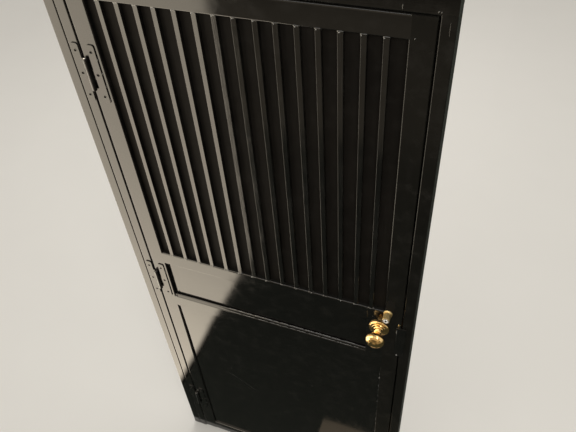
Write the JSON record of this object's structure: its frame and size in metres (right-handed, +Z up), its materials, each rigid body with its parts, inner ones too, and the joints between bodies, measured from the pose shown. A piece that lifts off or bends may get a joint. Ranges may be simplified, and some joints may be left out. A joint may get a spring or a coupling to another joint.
{
  "type": "barred steel entrance door with frame",
  "caption": "Black steel entrance door in its tube frame: barred upper bay, two recessed panels, brass centre knob, latch guard and rim night latch.",
  "frame": {"origin": "on the floor, midway across the frame, in the middle of the leaf's depth", "axes": "+X to the right seen from outside, +Y into the building, +Z up"},
  "size_m": [0.909, 0.1608, 2.118],
  "materials": {
    "black_enamel": "gloss black enamel, brushed on, dusty",
    "bar_enamel": "gloss black enamel on square bar, thick at the welds",
    "sheet_enamel": "gloss black enamel on sheet, slightly wavy",
    "polished_brass": "polished, lightly tarnished in the grooves",
    "worn_brass": "satin, worn by use",
    "plain_steel": "bright zinc plate",
    "cast_lock_finish": "bronze coloured lock enamel",
    "turn_chrome": "satin chrome"
  },
  "bodies": {
    "frame": {"packing_tube": "black_enamel", "jamb_left": "black_enamel", "jamb_right": "black_enamel", "head": "black_enamel", "stop_left": "black_enamel", "stop_head": "black_enamel", "stop_right_lower": "black_enamel", "stop_right_upper": "black_enamel", "hinge_plate_frame_1": "black_enamel", "hinge_plate_frame_2": "black_enamel", "hinge_plate_frame_3": "black_enamel", "hinge_pins": "black_enamel", "frame_screws": "black_enamel"},
    "leaf": {"stile_hinge": "black_enamel", "stile_lock": "black_enamel", "rail_top": "black_enamel", "rail_lock": "black_enamel", "rail_mid": "black_enamel", "rail_bottom": "black_enamel", "lock_box_tube": "black_enamel", "guard_plate": "black_enamel", "hinge_plate_leaf_1": "black_enamel", "hinge_plate_leaf_2": "black_enamel", "hinge_plate_leaf_3": "black_enamel", "leaf_screws": "black_enamel", "bar_01": "bar_enamel", "bar_02": "bar_enamel", "bar_03": "bar_enamel", "bar_04": "bar_enamel", "bar_05": "bar_enamel", "bar_06": "bar_enamel", "bar_07": "bar_enamel", "bar_08": "bar_enamel", "bar_09": "bar_enamel", "bar_10": "bar_enamel", "bar_11": "bar_enamel", "bar_12": "bar_enamel", "bar_13": "bar_enamel", "bar_14": "bar_enamel", "bar_15": "bar_enamel", "bay_sheet": "sheet_enamel", "middle_panel": "sheet_enamel", "lower_panel": "sheet_enamel", "rose_outer": "polished_brass", "rose_inner": "polished_brass", "cylinder_body": "polished_brass", "cylinder_ring": "polished_brass", "latch_faceplate": "worn_brass", "latch_case": "plain_steel", "night_latch_case": "cast_lock_finish"},
    "knob": {"knob_outer": "polished_brass", "knob_inner": "polished_brass", "knob_spindle": "plain_steel", "latch_follower": "plain_steel"},
    "latch_bolt_body": {"latch_bolt": "worn_brass"},
    "night_turn": {"cylinder_plug": "worn_brass", "connecting_bar": "plain_steel", "night_latch_turn": "turn_chrome"},
    "night_bolt_body": {"night_latch_bolt": "plain_steel"}
  },
  "joints": [
    {"name": "leaf_swing", "type": "hinge", "parent": "frame", "child": "leaf", "pos_m": [-0.3845, -0.0213, 1.057], "axis": [0, 0, -1], "range_deg": [0, 90]},
    {"name": "knob_turn", "type": "hinge", "parent": "leaf", "child": "knob", "pos_m": [0.3595, 0, 1.117], "axis": [0, -1, 0], "range_deg": [0, 60], "stiffness_Nm_per_rad": 0.4},
    {"name": "latch_slide", "type": "slide", "parent": "leaf", "child": "latch_bolt_body", "axis": [-1, 0, 0], "range_m": [0, 0.0121]},
    {"name": "cylinder_turn", "type": "hinge", "parent": "leaf", "child": "night_turn", "pos_m": [0.3815, 0.028, 1.1945], "axis": [0, -1, 0], "range_deg": [0, 60.5]},
    {"name": "night_bolt_slide", "type": "slide", "parent": "leaf", "child": "night_bolt_body", "axis": [-1, 0, 0], "range_m": [0, 0.014], "stiffness_N_per_m": 300, "springref_m": -0.01}
  ],
  "couplings": [
    {"joint": "latch_slide", "follows": "knob_turn", "m_per_rad": 0.011459},
    {"joint": "cylinder_turn", "follows": "night_bolt_slide", "rad_per_m": 74.8}
  ]
}
